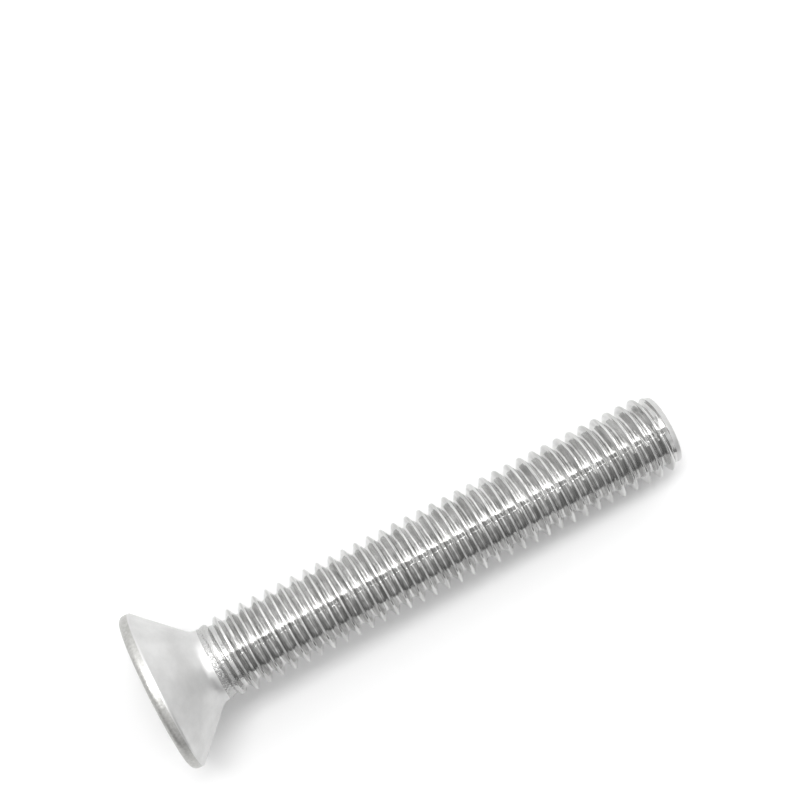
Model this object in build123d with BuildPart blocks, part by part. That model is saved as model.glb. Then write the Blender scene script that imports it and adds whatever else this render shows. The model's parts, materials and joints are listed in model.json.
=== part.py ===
from build123d import *
from math import atan2, cos, degrees, radians, sin, tan
import os

# Countersunk screw with a hexagon socket, M6 x 40, one piece of stainless steel.
# It lies on its side, as it comes to rest on a table: the edge of the head's rim and the end of
# the threaded length touch the table at Z = 0, and the axis slopes down from head to tip.
# Millimetres. X runs from the head towards the tip, and the origin is on the table, under the
# middle of the screw.
# The threaded length is a cylinder over the crests. The fine grooves of the thread are not cut.

# ---- Driving dimensions ----------------------------------------------------------------------

length = 40.0  # from the head's flat face to the tip, along the axis

# Head
head_diameter = 11.7
face_edge_radius = 0.48  # round between the flat face and the rim
rim_width = 0.37  # short cylinder between that round and the cone
cone_angle = 90.0  # included angle of the countersunk cone
neck_diameter = 5.32  # plain neck between the cone and the thread
neck_length = 0.56  # from the cone's theoretical end to the thread's start
neck_fillet_radius = 1.0

# Hexagon socket, punched by a tool with a coned end
socket_across_flats = 4.08
socket_corner_depth = 2.3  # where the tool's corners meet its coned end
socket_floor_depth = 3.1
socket_floor_diameter = 2.3

# Threaded length
thread_diameter = 5.88  # over the crests
thread_runout = 1.7  # cone from the neck up to the full diameter
tip_diameter = 4.8
tip_chamfer_length = 0.5

# How far the tool that cuts the socket stands clear outside the face
tool_clearance = 1.0

# ---- Worked out from them --------------------------------------------------------------------

head_radius = head_diameter / 2
neck_radius = neck_diameter / 2
thread_radius = thread_diameter / 2
tip_radius = tip_diameter / 2

# Distances along the axis from the face
rim_end = face_edge_radius + rim_width
cone_end = rim_end + (head_radius - neck_radius) / tan(radians(cone_angle / 2))
thread_start = cone_end + neck_length
full_thread = thread_start + thread_runout
chamfer_start = length - tip_chamfer_length

# At rest the rim's edge and the edge of the tip's chamfer touch the table.
tilt = atan2(head_radius - thread_radius, chamfer_start - rim_end)
toward_tip = Vector(cos(tilt), 0, -sin(tilt))
upward = Vector(sin(tilt), 0, cos(tilt))

# Furthest points along X, counted from the middle of the face: the round at the lower edge of
# the face at one end, and the upper edge of the tip at the other.
round_centre = face_edge_radius * cos(tilt) - (head_radius - face_edge_radius) * sin(tilt)
head_reach = round_centre - face_edge_radius
tip_reach = length * cos(tilt) + tip_radius * sin(tilt)
face_height = head_radius * cos(tilt) + rim_end * sin(tilt)
face_centre = Vector(-(head_reach + tip_reach) / 2, 0, face_height)

screw_axis = Axis(face_centre, toward_tip)
face_plane = Plane(origin=face_centre, x_dir=upward, z_dir=toward_tip)
# In the section plane, x is the radius and y is the distance from the face.
section_plane = Plane(origin=face_centre, x_dir=upward, z_dir=(0, 1, 0))

# ---- Tool that punches the socket ------------------------------------------------------------

socket_corner_radius = socket_across_flats / 2 / cos(radians(30))

with BuildPart() as socket_tool:
    with BuildSketch(face_plane.offset(-tool_clearance)):
        RegularPolygon(radius=socket_across_flats / 2, side_count=6, major_radius=False)
    extrude(amount=tool_clearance + socket_floor_depth)
    # The coned end cuts the corners back and leaves a round, flat floor.
    with BuildSketch(section_plane):
        with BuildLine():
            Polyline(
                (0, -tool_clearance),
                (head_radius, -tool_clearance),
                (head_radius, socket_corner_depth),
                (socket_corner_radius, socket_corner_depth),
                (socket_floor_diameter / 2, socket_floor_depth),
                (0, socket_floor_depth),
                close=True,
            )
        make_face()
    revolve(axis=screw_axis, mode=Mode.INTERSECT)

# ---- The screw -------------------------------------------------------------------------------

with BuildPart() as countersunk_screw:
    with BuildSketch(section_plane):
        with BuildLine():
            face_line = Line((0, 0), (head_radius - face_edge_radius, 0))
            face_edge = RadiusArc(face_line @ 1, (head_radius, face_edge_radius), -face_edge_radius)
            rim_line = Line(face_edge @ 1, (head_radius, rim_end))
            cone_and_neck = FilletPolyline(
                rim_line @ 1,
                (neck_radius, cone_end),
                (neck_radius, thread_start),
                radius=neck_fillet_radius,
            )
            Polyline(
                cone_and_neck @ 1,
                (thread_radius, full_thread),
                (thread_radius, chamfer_start),
                (tip_radius, length),
                (0, length),
                (0, 0),
            )
        make_face()
    revolve(axis=screw_axis)
    add(socket_tool.part, mode=Mode.SUBTRACT)

countersunk_screw.part.label = "countersunk_screw"
os.makedirs("parts", exist_ok=True)
export_step(countersunk_screw.part, "parts/countersunk_screw.step")

print("tilt of the axis, degrees:", round(degrees(tilt), 3))
print("middle of the head's face:", face_centre)
print("direction towards the tip:", toward_tip)
print("full thread from", round(full_thread, 3), "to", chamfer_start, "mm along the axis")
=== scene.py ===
import json
import math

import bmesh
import bpy
import numpy as np
from mathutils import Euler, Matrix, Vector


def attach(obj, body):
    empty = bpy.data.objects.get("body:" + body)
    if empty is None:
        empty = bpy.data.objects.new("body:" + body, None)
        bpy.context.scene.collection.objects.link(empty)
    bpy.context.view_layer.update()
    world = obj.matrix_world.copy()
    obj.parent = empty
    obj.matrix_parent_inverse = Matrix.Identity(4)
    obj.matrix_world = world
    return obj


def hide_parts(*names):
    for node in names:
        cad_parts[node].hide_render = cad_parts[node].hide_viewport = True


# Countersunk socket screw, M6 x 40, bare stainless steel, lying on a pale floor.
# Sizes are millimetres. In the screw's own axes X runs from the middle of the head's face to the
# tip, Y is level, and Z points up from the axis, in the upright plane that holds it.

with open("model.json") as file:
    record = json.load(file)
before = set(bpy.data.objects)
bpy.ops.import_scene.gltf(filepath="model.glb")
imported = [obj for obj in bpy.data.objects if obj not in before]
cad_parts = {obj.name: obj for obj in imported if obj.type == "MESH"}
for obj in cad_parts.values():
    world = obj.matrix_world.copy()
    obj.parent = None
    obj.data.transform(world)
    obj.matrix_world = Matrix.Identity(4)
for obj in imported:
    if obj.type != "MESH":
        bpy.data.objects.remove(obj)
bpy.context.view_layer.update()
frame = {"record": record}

MM = 0.001

# ---- Sizes of the screw ----------------------------------------------------------------------

mounts = {mount["name"]: mount for mount in frame["record"]["mounts"]}
face_centre = Vector(mounts["hex_socket"]["pos_m"])
toward_tip = Vector(mounts["thread"]["axis"]).normalized()
crest_radius = mounts["thread"]["dims"]["r_mm"]
level = Vector((0, 1, 0))
# Its columns are the screw's own X, Y and Z.
screw_axes = Matrix((toward_tip, level, toward_tip.cross(level))).transposed()

# The solid is 40 long. From this camera the photograph shows the tip 0.3 further out.
length = 40.3
head_radius = 5.85
face_edge_radius = 0.48
rim_end = 0.85
rim_round = 0.25  # between the rim and the cone
cone_half_angle = 45
neck_radius = 2.66
neck_fillet_radius = 1.0
cone_end = rim_end + head_radius - neck_radius  # at 45 degrees, as far along as inwards
neck_end = cone_end + 0.56
thread_start = cone_end + 0.45  # the first groove begins in the neck
full_thread = neck_end + 1.7
tip_radius = 2.42
chamfer_start = length - 1.0
thread_end = length - 0.35
tip_edge_round = 0.06

socket_apothem = 2.04
socket_corner_radius = socket_apothem / math.cos(math.radians(30))
socket_corner_depth = 2.3
socket_floor_depth = 3.1
socket_floor_radius = 1.15
socket_mouth_round = 0.14

# Thread: right-handed, 60 degrees between its flanks, a small flat at the crest and a round root
pitch = 1.0
first_crest = 6.98  # where the first full crest crosses the level line through the axis, at +Y
flank_to_axis = math.radians(60)
flank_slope = math.tan(flank_to_axis)
crest_flat = 0.0365  # half of the flat
crest_round = 0.045
root_round = 0.144
first_groove_radius = 2.5
first_groove_length = 0.6  # the groove reaches that radius this far past its start
root_runout = 0.7  # and its full depth this far past the start of the full thread
last_groove_radius = 2.5  # where the groove has faded at the tip's plain edge

# ---- How fine the mesh is --------------------------------------------------------------------

columns = 108  # around the axis, a multiple of 6 so that the socket's corners fall on columns
row_past_tangent = 0.035  # this far onto a flank, a row keeps the round's shading off it
merge_distance = 1e-4
sharp_angle = 35

# Rings on a straight stretch, as shares of it. Those near an end keep the shading of the round
# beyond it off the stretch.
cone_shares = (0.04, 0.3, 0.6, 0.9, 0.97)
face_shares = (0.02, 0.2, 0.4, 0.6, 0.8, 0.95, 1)
wall_shares = (0.05, 0.5, 0.95, 1)
socket_cone_shares = (0.1, 0.5, 0.9, 1)
socket_floor_shares = (0.95, 0.5, 0.1)
tip_shares = (1, 0.97, 0.5)

# ---- Materials -------------------------------------------------------------------------------


def new_material(name):
    """A material with an empty node tree but for its output, and the shader joined to it."""
    material = bpy.data.materials.new(name)
    material.use_nodes = True
    nodes = material.node_tree.nodes
    nodes.clear()
    output = nodes.new("ShaderNodeOutputMaterial")
    shader = nodes.new("ShaderNodeBsdfPrincipled")
    material.node_tree.links.new(shader.outputs["BSDF"], output.inputs["Surface"])
    return material, shader


def add_node(material, kind, **settings):
    node = material.node_tree.nodes.new(kind)
    for name, value in settings.items():
        setattr(node, name, value)
    return node


def join(material, source, target):
    material.node_tree.links.new(source, target)


def screw_coordinates(material):
    """Metres in the screw's own axes, at the point being shaded."""
    place = add_node(material, "ShaderNodeTexCoord")
    turned = add_node(material, "ShaderNodeMapping", vector_type="POINT")
    into_axes = screw_axes.transposed()
    turned.inputs["Rotation"].default_value = into_axes.to_euler("XYZ")
    turned.inputs["Location"].default_value = -(into_axes @ face_centre)
    join(material, place.outputs["Object"], turned.inputs["Vector"])
    return turned.outputs["Vector"]


def stretched_noise(material, along, across, detail=4.0, roughness=0.55):
    """Noise in the screw's own axes, with its scales per millimetre, along the axis and across."""
    stretch = add_node(material, "ShaderNodeMapping")
    stretch.inputs["Scale"].default_value = (along / MM, across / MM, across / MM)
    noise = add_node(material, "ShaderNodeTexNoise")
    noise.inputs["Scale"].default_value = 1.0
    noise.inputs["Detail"].default_value = detail
    noise.inputs["Roughness"].default_value = roughness
    join(material, screw_coordinates(material), stretch.inputs["Vector"])
    join(material, stretch.outputs["Vector"], noise.inputs["Vector"])
    return noise.outputs["Fac"]


def ramp(material, factor, between, values):
    """Maps factor from between's two ends to the two values, and holds it there outside."""
    node = add_node(material, "ShaderNodeMapRange", clamp=True)
    node.inputs["From Min"].default_value = between[0]
    node.inputs["From Max"].default_value = between[1]
    node.inputs["To Min"].default_value = values[0]
    node.inputs["To Max"].default_value = values[1]
    join(material, factor, node.inputs["Value"])
    return node.outputs["Result"]


def tint(material, factor, dark, light):
    """A colour between dark and light."""
    node = add_node(material, "ShaderNodeMix", data_type="RGBA")
    node.inputs["A"].default_value = (*dark, 1)
    node.inputs["B"].default_value = (*light, 1)
    join(material, factor, node.inputs["Factor"])
    return node.outputs["Result"]


def bump(material, height, depth_mm, normal=None):
    """A bump of that depth, on top of another one if normal is given."""
    node = add_node(material, "ShaderNodeBump")
    node.inputs["Strength"].default_value = 1.0
    node.inputs["Distance"].default_value = depth_mm * MM
    join(material, height, node.inputs["Height"])
    if normal is not None:
        join(material, normal, node.inputs["Normal"])
    return node.outputs["Normal"]


def share_of_start(material):
    """1 at the neck, falling to 0 over the shallow first turns, which stay dull and pitted."""
    parts = add_node(material, "ShaderNodeSeparateXYZ")
    join(material, screw_coordinates(material), parts.inputs["Vector"])
    first_turns = (thread_start * MM, full_thread * MM)
    return ramp(material, parts.outputs["X"], between=first_turns, values=(1, 0))


def rolled_thread_steel():
    """Bright steel with fine streaks round the axis, left by the rolling dies."""
    material, shader = new_material("rolled_thread_steel")
    shader.inputs["Metallic"].default_value = 1.0
    streaks = stretched_noise(material, along=6.0, across=0.3, detail=2.0)
    dull_streaks = stretched_noise(material, along=5.0, across=0.25, detail=1.5)
    shade = ramp(material, streaks, between=(0.38, 0.62), values=(0, 1))
    colour = tint(material, shade, dark=(0.42, 0.42, 0.415), light=(0.6, 0.6, 0.595))
    start = share_of_start(material)
    with_start = add_node(material, "ShaderNodeMix", data_type="RGBA")
    with_start.inputs["B"].default_value = (0.44, 0.44, 0.436, 1)
    join(material, start, with_start.inputs["Factor"])
    join(material, colour, with_start.inputs["A"])
    join(material, with_start.outputs["Result"], shader.inputs["Base Color"])
    duller = add_node(material, "ShaderNodeMath", operation="MAXIMUM")
    dull_in_streaks = ramp(material, dull_streaks, between=(0.52, 0.6), values=(0.06, 0.22))
    dull_at_start = ramp(material, start, between=(0, 0.6), values=(0, 0.24))
    join(material, dull_in_streaks, duller.inputs[0])
    join(material, dull_at_start, duller.inputs[1])
    join(material, duller.outputs["Value"], shader.inputs["Roughness"])
    streaked = bump(material, streaks, depth_mm=0.035)
    pits = stretched_noise(material, along=6.0, across=5.0, detail=2.0)
    depth = add_node(material, "ShaderNodeMath", operation="MULTIPLY")
    join(material, start, depth.inputs[0])
    join(material, pits, depth.inputs[1])
    pitted = bump(material, depth.outputs["Value"], depth_mm=0.09, normal=streaked)
    join(material, pitted, shader.inputs["Normal"])
    return material


def satin_cone_steel():
    """The countersunk cone and the neck: satin, with a soft cloudy sheen."""
    material, shader = new_material("satin_cone_steel")
    shader.inputs["Metallic"].default_value = 1.0
    clouds = stretched_noise(material, along=0.5, across=0.4)
    grain = stretched_noise(material, along=9.0, across=9.0)
    shade = ramp(material, clouds, between=(0.35, 0.65), values=(0, 1))
    colour = tint(material, shade, dark=(0.52, 0.52, 0.517), light=(0.63, 0.63, 0.626))
    dullness = ramp(material, grain, between=(0.3, 0.7), values=(0.34, 0.46))
    join(material, colour, shader.inputs["Base Color"])
    join(material, dullness, shader.inputs["Roughness"])
    join(material, bump(material, grain, depth_mm=0.004), shader.inputs["Normal"])
    return material


def forged_face_steel():
    """The head's face and rim: pebbled by the forging die."""
    material, shader = new_material("forged_face_steel")
    shader.inputs["Metallic"].default_value = 1.0
    pebbles = stretched_noise(material, along=5.0, across=5.0, roughness=0.6)
    grain = stretched_noise(material, along=14.0, across=14.0)
    shade = ramp(material, pebbles, between=(0.35, 0.65), values=(0, 1))
    colour = tint(material, shade, dark=(0.37, 0.368, 0.355), light=(0.48, 0.478, 0.465))
    dullness = ramp(material, grain, between=(0.3, 0.7), values=(0.28, 0.42))
    join(material, colour, shader.inputs["Base Color"])
    join(material, dullness, shader.inputs["Roughness"])
    coarse = bump(material, pebbles, depth_mm=0.03)
    fine = bump(material, grain, depth_mm=0.01, normal=coarse)
    join(material, fine, shader.inputs["Normal"])
    return material


def punched_socket_steel():
    """The socket's walls and floor: bright, with marks along the punch's travel."""
    material, shader = new_material("punched_socket_steel")
    shader.inputs["Metallic"].default_value = 1.0
    marks = stretched_noise(material, along=0.5, across=12.0)
    shade = ramp(material, marks, between=(0.35, 0.65), values=(0, 1))
    colour = tint(material, shade, dark=(0.42, 0.42, 0.41), light=(0.54, 0.54, 0.53))
    dullness = ramp(material, marks, between=(0.3, 0.7), values=(0.16, 0.3))
    join(material, colour, shader.inputs["Base Color"])
    join(material, dullness, shader.inputs["Roughness"])
    join(material, bump(material, marks, depth_mm=0.005), shader.inputs["Normal"])
    return material


# A face's material is its place in the list of the mesh's materials, in build_screw.
THREAD, CONE, FORGED, SOCKET = range(4)

# ---- Thread ----------------------------------------------------------------------------------

# Where the flank runs into the crest's round and into the root's: distances from the crest
crest_tangent = crest_flat + crest_round * math.sin(flank_to_axis)
crest_tangent_depth = crest_round * (1 - math.cos(flank_to_axis))
root_tangent = pitch / 2 - root_round * math.sin(flank_to_axis)
root_tangent_depth = crest_tangent_depth + flank_slope * (root_tangent - crest_tangent)
root_depth = root_tangent_depth + root_round * (1 - math.cos(flank_to_axis))
root_radius = crest_radius - root_depth


def groove_depth(offset):
    """How far the thread's surface lies below the crest, at a distance along the axis from it."""
    on_flank = crest_tangent_depth + flank_slope * (offset - crest_tangent)
    over_crest = np.clip(offset - crest_flat, 0, crest_round)
    on_crest = crest_round - np.sqrt(crest_round**2 - over_crest**2)
    from_root = np.clip(pitch / 2 - offset, 0, root_round)
    on_root = root_depth - root_round + np.sqrt(root_round**2 - from_root**2)
    depth = np.where(offset < crest_tangent, on_crest, on_flank)
    return np.where(offset > root_tangent, on_root, depth)


def threaded_radius(along, turn):
    """The surface's distance from the axis. Turn is the angle about it, in whole turns from +Y."""
    crests = (along - first_crest) / pitch - turn
    offset = np.abs(crests - np.round(crests)) * pitch
    crest_limit = np.interp(
        along,
        (neck_end, full_thread, chamfer_start, length),
        (neck_radius, crest_radius, crest_radius, tip_radius),
    )
    groove_limit = np.interp(
        along,
        (
            thread_start,
            thread_start + first_groove_length,
            full_thread + root_runout,
            chamfer_start,
            thread_end,
        ),
        (neck_radius, first_groove_radius, root_radius, root_radius, last_groove_radius),
    )
    profile = np.minimum(crest_radius - groove_depth(offset), crest_limit)
    return np.maximum(profile, groove_limit)


def rows_in_one_pitch():
    """Distances from a crest, as shares of the pitch, from one crest to just before the next."""
    down = [
        0,
        crest_flat,
        (crest_flat + crest_tangent) / 2,
        crest_tangent,
        crest_tangent + row_past_tangent,
        (crest_tangent + root_tangent) / 2,
        root_tangent - row_past_tangent,
        root_tangent,
        (2 * root_tangent + pitch / 2) / 3,
        (root_tangent + pitch) / 3,
    ]
    up = [pitch - offset for offset in reversed(down[1:])]
    return [offset / pitch for offset in down + [pitch / 2] + up]


def thread_grid(points, faces):
    """Adds the threaded length as a grid whose rows follow the helix.

    Returns the first point of its first ring and of its last. Where a row would start before the
    thread or end past it, it is drawn in to the ring there and merged with it afterwards."""
    shares = rows_in_one_pitch()
    per_pitch = len(shares)
    first_turn = math.floor((thread_start - first_crest) / pitch) - 2
    last_turn = math.ceil((thread_end - first_crest) / pitch) + 1
    helix_rows = np.concatenate([turn + np.array(shares) for turn in range(first_turn, last_turn)])
    turn = np.arange(columns) / columns
    along = first_crest + pitch * (helix_rows[:, None] + turn[None, :])
    along = np.clip(along, thread_start, thread_end)
    radius = threaded_radius(along, turn[None, :])
    angle = 2 * math.pi * turn[None, :]
    first_point = len(points)
    grid = np.stack([along, radius * np.cos(angle), radius * np.sin(angle)], axis=-1)
    points.extend(grid.reshape(-1, 3).tolist())
    last_row = len(helix_rows) - 1

    def index(row, column):
        if column == columns:  # one whole turn on, the same line is one pitch further
            return first_point + min(row + per_pitch, last_row) * columns
        return first_point + row * columns + column

    for row in range(last_row):
        for column in range(columns):
            corners = (
                index(row, column),
                index(row, column + 1),
                index(row + 1, column + 1),
                index(row + 1, column),
            )
            faces.append((corners, THREAD))
    return first_point, first_point + last_row * columns


# ---- Head, socket and tip --------------------------------------------------------------------

column_angles = 2 * np.pi * np.arange(columns) / columns
# The angle to the middle of the nearest flat. A corner of the hexagon points up from the axis.
from_flat = np.mod(column_angles - math.pi / 2, math.pi / 3) - math.pi / 6
hexagon = socket_apothem / np.cos(from_flat)


def arc(centre, radius, start_degrees, end_degrees, steps):
    """Points (along, out) on an arc, start and end included."""
    angles = np.radians(np.linspace(start_degrees, end_degrees, steps + 1))
    return [(centre[0] + radius * math.cos(a), centre[1] + radius * math.sin(a)) for a in angles]


def round_rings():
    """(along, out, material) of the rings from the thread's start to the edge of the flat face."""
    half_bend = math.tan(math.radians(cone_half_angle / 2))
    fillet_reach = neck_fillet_radius * half_bend
    fillet_centre = (cone_end + fillet_reach, neck_radius + neck_fillet_radius)
    rings = [((thread_start + cone_end + fillet_reach) / 2, neck_radius, THREAD)]
    fillet = arc(fillet_centre, neck_fillet_radius, 270, 270 - cone_half_angle, steps=8)
    rings += [(x, r, CONE) for x, r in fillet]
    cone_start = rings[-1]
    rim_centre = (rim_end - rim_round * half_bend, head_radius - rim_round)
    rim_arc = arc(rim_centre, rim_round, 90 - cone_half_angle, 90, steps=4)
    for share in cone_shares:
        along = cone_start[0] + (rim_arc[0][0] - cone_start[0]) * share
        out = cone_start[1] + (rim_arc[0][1] - cone_start[1]) * share
        rings.append((along, out, CONE))
    rings += [(x, r, CONE) for x, r in rim_arc]
    edge_centre = (face_edge_radius, head_radius - face_edge_radius)
    rings.append(((rim_arc[-1][0] + face_edge_radius) / 2, head_radius, FORGED))
    rings += [(x, r, FORGED) for x, r in arc(edge_centre, face_edge_radius, 90, 180, steps=8)]
    return rings


def socket_rings():
    """(along, distances out, material) of the rings from the face, over the mouth, to the floor."""
    flat_edge = head_radius - face_edge_radius
    mouth = hexagon + socket_mouth_round
    rings = []
    for share in face_shares:
        rings.append((0.0, flat_edge + (mouth - flat_edge) * share, FORGED))
    mouth_centre = (socket_mouth_round, socket_mouth_round)
    for x, r in arc(mouth_centre, socket_mouth_round, 180, 270, steps=4)[1:]:
        rings.append((x, hexagon + r, SOCKET))
    cone_drop = socket_floor_depth - socket_corner_depth
    cone_share = (socket_corner_radius - hexagon) / (socket_corner_radius - socket_floor_radius)
    wall_end = socket_corner_depth + cone_drop * cone_share
    for share in wall_shares:
        along = socket_mouth_round + (wall_end - socket_mouth_round) * share
        rings.append((along, hexagon, SOCKET))
    for share in socket_cone_shares:
        along = wall_end + (socket_floor_depth - wall_end) * share
        rings.append((along, hexagon + (socket_floor_radius - hexagon) * share, SOCKET))
    for share in socket_floor_shares:
        rings.append((socket_floor_depth, socket_floor_radius * share, SOCKET))
    return rings


def add_ring(points, faces, previous, along, out, material, outward=False):
    """Adds a ring of points and the faces that join it to the previous ring.

    Returns the ring's first point. Outward is for rings that go from the thread to the tip,
    because their faces wind the other way."""
    along = np.broadcast_to(along, columns)
    out = np.broadcast_to(out, columns)
    first = len(points)
    ring = np.stack([along, out * np.cos(column_angles), out * np.sin(column_angles)], axis=-1)
    points.extend(ring.tolist())
    for column in range(columns):
        after = (column + 1) % columns
        corners = (first + column, first + after, previous + after, previous + column)
        faces.append((corners[::-1] if outward else corners, material))
    return first


def add_cap(points, faces, previous, along, material, outward=False):
    """Closes a ring with one point on the axis. Outward is as in add_ring."""
    centre = len(points)
    points.append([along, 0.0, 0.0])
    for column in range(columns):
        corners = (centre, previous + (column + 1) % columns, previous + column)
        faces.append((corners[::-1] if outward else corners, material))


def add_head(points, faces, ring):
    for along, out, material in round_rings() + socket_rings():
        ring = add_ring(points, faces, ring, along, out, material)
    add_cap(points, faces, ring, socket_floor_depth, SOCKET)


def add_tip(points, faces, ring):
    """A narrow plain band past the thread, the tip's small slope, and its flat end."""
    edge_start = length - tip_edge_round
    slope_start = tip_radius + tip_edge_round
    ring = add_ring(points, faces, ring, edge_start, slope_start, CONE, outward=True)
    for share in tip_shares:
        ring = add_ring(points, faces, ring, length, tip_radius * share, CONE, outward=True)
    add_cap(points, faces, ring, length, CONE, outward=True)


def build_screw():
    """The whole screw as one closed mesh, made in its own axes and then put in its place."""
    points = []
    faces = []
    start_ring, end_ring = thread_grid(points, faces)
    add_head(points, faces, start_ring)
    add_tip(points, faces, end_ring)
    mesh = bpy.data.meshes.new("threaded_screw")
    mesh.from_pydata((np.array(points) * MM).tolist(), [], [corners for corners, _ in faces])
    mesh.polygons.foreach_set("material_index", [material for _, material in faces])
    work = bmesh.new()
    work.from_mesh(mesh)
    bmesh.ops.remove_doubles(work, verts=work.verts, dist=merge_distance * MM)
    bmesh.ops.recalc_face_normals(work, faces=work.faces)
    work.to_mesh(mesh)
    work.free()
    mesh.transform(Matrix.Translation(face_centre) @ screw_axes.to_4x4())
    mesh.shade_smooth()
    mesh.set_sharp_from_angle(angle=math.radians(sharp_angle))
    screw = bpy.data.objects.new("threaded_screw", mesh)
    bpy.context.scene.collection.objects.link(screw)
    for material in (
        rolled_thread_steel(),
        satin_cone_steel(),
        forged_face_steel(),
        punched_socket_steel(),
    ):
        mesh.materials.append(material)
    return screw


screw = build_screw()
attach(screw, "root")
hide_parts("countersunk_screw")

# ---- Floor, light and camera -----------------------------------------------------------------

floor_side = 4000

# Fitted to the photograph, to 1.0 to 1.5 pixels rms over the crests, the rim and the outline
camera_place = Vector((1.621, 10.613, 136.567))
camera_turn = (0.482, -1.159, -27.145)  # degrees about X, Y and Z
focal_length = 84.85
sensor_width = 36.0
nearest_seen = 10  # nothing is closer to the lens


def plane(name, centre, size):
    """A level rectangle."""
    mesh = bpy.data.meshes.new(name)
    x = size[0] / 2 * MM
    y = size[1] / 2 * MM
    mesh.from_pydata([(-x, -y, 0), (x, -y, 0), (x, y, 0), (-x, y, 0)], [], [(0, 1, 2, 3)])
    item = bpy.data.objects.new(name, mesh)
    bpy.context.scene.collection.objects.link(item)
    item.location = Vector(centre) * MM
    return item


def add_floor():
    floor = plane("floor", (0, 0, 0), (floor_side, floor_side))
    material, shader = new_material("pale_floor")
    shader.inputs["Base Color"].default_value = (0.87, 0.87, 0.87, 1)
    shader.inputs["Roughness"].default_value = 0.9
    shader.inputs["Specular IOR Level"].default_value = 0.1
    floor.data.materials.append(material)


def area_lamp(name, size, power):
    """A rectangular lamp that faces down and isn't in the picture itself."""
    light = bpy.data.lights.new(name, "AREA")
    light.shape = "RECTANGLE"
    light.size = size[0] * MM
    light.size_y = size[1] * MM
    light.energy = power
    lamp = bpy.data.objects.new(name, light)
    bpy.context.scene.collection.objects.link(lamp)
    lamp.visible_camera = False
    return lamp


def add_softbox(name, toward, distance, size, power, lights_floor=True):
    """A lamp in that direction from the screw, turned to face it."""
    lamp = area_lamp(name, size, power)
    direction = Vector(toward).normalized()
    lamp.location = direction * distance * MM
    lamp.rotation_mode = "QUATERNION"
    lamp.rotation_quaternion = direction.to_track_quat("Z", "Y")
    lamp.visible_diffuse = lights_floor


def add_level_strip(name, centre, size, power):
    """A thin lamp that faces down, seen only in the metal's reflections."""
    lamp = area_lamp(name, size, power)
    lamp.location = Vector(centre) * MM
    lamp.visible_diffuse = False


def add_graded_card(name, shades, height, ends):
    """A card over the screw, between two ends along X, seen only in the metal's reflections.

    Shades are pairs of an angle off the vertical towards -Y, in degrees, and the brightness there."""
    reach = [height * math.tan(math.radians(angle)) for angle, _ in shades]
    width = reach[-1] - reach[0]
    centre = ((ends[0] + ends[1]) / 2, -(reach[0] + reach[-1]) / 2, height)
    card = plane(name, centre, (ends[1] - ends[0], width))
    material = bpy.data.materials.new(name)
    material.use_nodes = True
    material.node_tree.nodes.clear()
    output = add_node(material, "ShaderNodeOutputMaterial")
    glow = add_node(material, "ShaderNodeEmission")
    brightest = max(brightness for _, brightness in shades)
    glow.inputs["Strength"].default_value = brightest
    place = add_node(material, "ShaderNodeTexCoord")
    parts = add_node(material, "ShaderNodeSeparateXYZ")
    across = add_node(material, "ShaderNodeMapRange", clamp=True)
    across.inputs["From Min"].default_value = width / 2 * MM
    across.inputs["From Max"].default_value = -width / 2 * MM
    shade = add_node(material, "ShaderNodeValToRGB")
    stops = shade.color_ramp.elements
    stops.remove(stops[1])
    for distance, (_, brightness) in zip(reach, shades):
        position = (distance - reach[0]) / width
        # A ramp always keeps one stop of its own, and that is the first.
        stop = stops.new(position) if position > 0 else stops[0]
        share = brightness / brightest
        stop.color = (share, share, share, 1)
    join(material, place.outputs["Object"], parts.inputs["Vector"])
    join(material, parts.outputs["Y"], across.inputs["Value"])
    join(material, across.outputs["Result"], shade.inputs["Fac"])
    join(material, shade.outputs["Color"], glow.inputs["Color"])
    join(material, glow.outputs["Emission"], output.inputs["Surface"])
    card.data.materials.append(material)
    card.visible_camera = False
    card.visible_diffuse = False
    card.visible_shadow = False


def add_world(bright, dim):
    """Plain surroundings that are bright on the +Y side and fade to dim on the -Y side."""
    world = bpy.data.worlds.new("studio")
    world.use_nodes = True
    place = add_node(world, "ShaderNodeTexCoord")
    parts = add_node(world, "ShaderNodeSeparateXYZ")
    join(world, place.outputs["Generated"], parts.inputs["Vector"])
    background = world.node_tree.nodes["Background"]
    background.inputs["Color"].default_value = (1, 1, 1, 1)
    strength = ramp(world, parts.outputs["Y"], between=(-0.8, 0.9), values=(dim, bright))
    join(world, strength, background.inputs["Strength"])
    bpy.context.scene.world = world


def add_camera():
    lens = bpy.data.cameras.new("camera")
    lens.lens = focal_length
    lens.sensor_width = sensor_width
    lens.clip_start = nearest_seen * MM
    camera = bpy.data.objects.new("camera", lens)
    bpy.context.scene.collection.objects.link(camera)
    camera.location = camera_place * MM
    camera.rotation_euler = Euler([math.radians(angle) for angle in camera_turn])
    bpy.context.scene.camera = camera


add_floor()
add_world(bright=1.5, dim=0.34)
add_softbox("key_softbox", toward=(0, 0.32, 1), distance=420, size=(200, 90), power=0.75)
add_softbox("tip_side_softbox", toward=(1, 0.35, 1.0), distance=300, size=(380, 45), power=0.16)
add_softbox(
    "face_side_softbox",
    toward=(-0.5, 0.7, 1),
    distance=150,
    size=(90, 100),
    power=0.045,
    lights_floor=False,
)
# The peak, 12 degrees towards +Y, makes the row of highlights, and the drop beside it ends them.
add_graded_card(
    "light_beside_the_camera",
    shades=(
        (-55, 1.0),
        (-40, 1.0),
        (-27, 1.7),
        (-20, 3.8),
        (-12, 8.5),
        (-9, 0.9),
        (4, 0.9),
        (18, 1.15),
        (30, 1.05),
        (42, 0.75),
        (54, 1.0),
        (66, 0.85),
        (80, 0.15),
    ),
    height=150,
    ends=(-120, 85),
)
add_level_strip("strip_by_the_lens", centre=(55, -17.5, 145), size=(75, 3), power=0.008)
add_camera()
bpy.context.scene.view_settings.view_transform = "Standard"
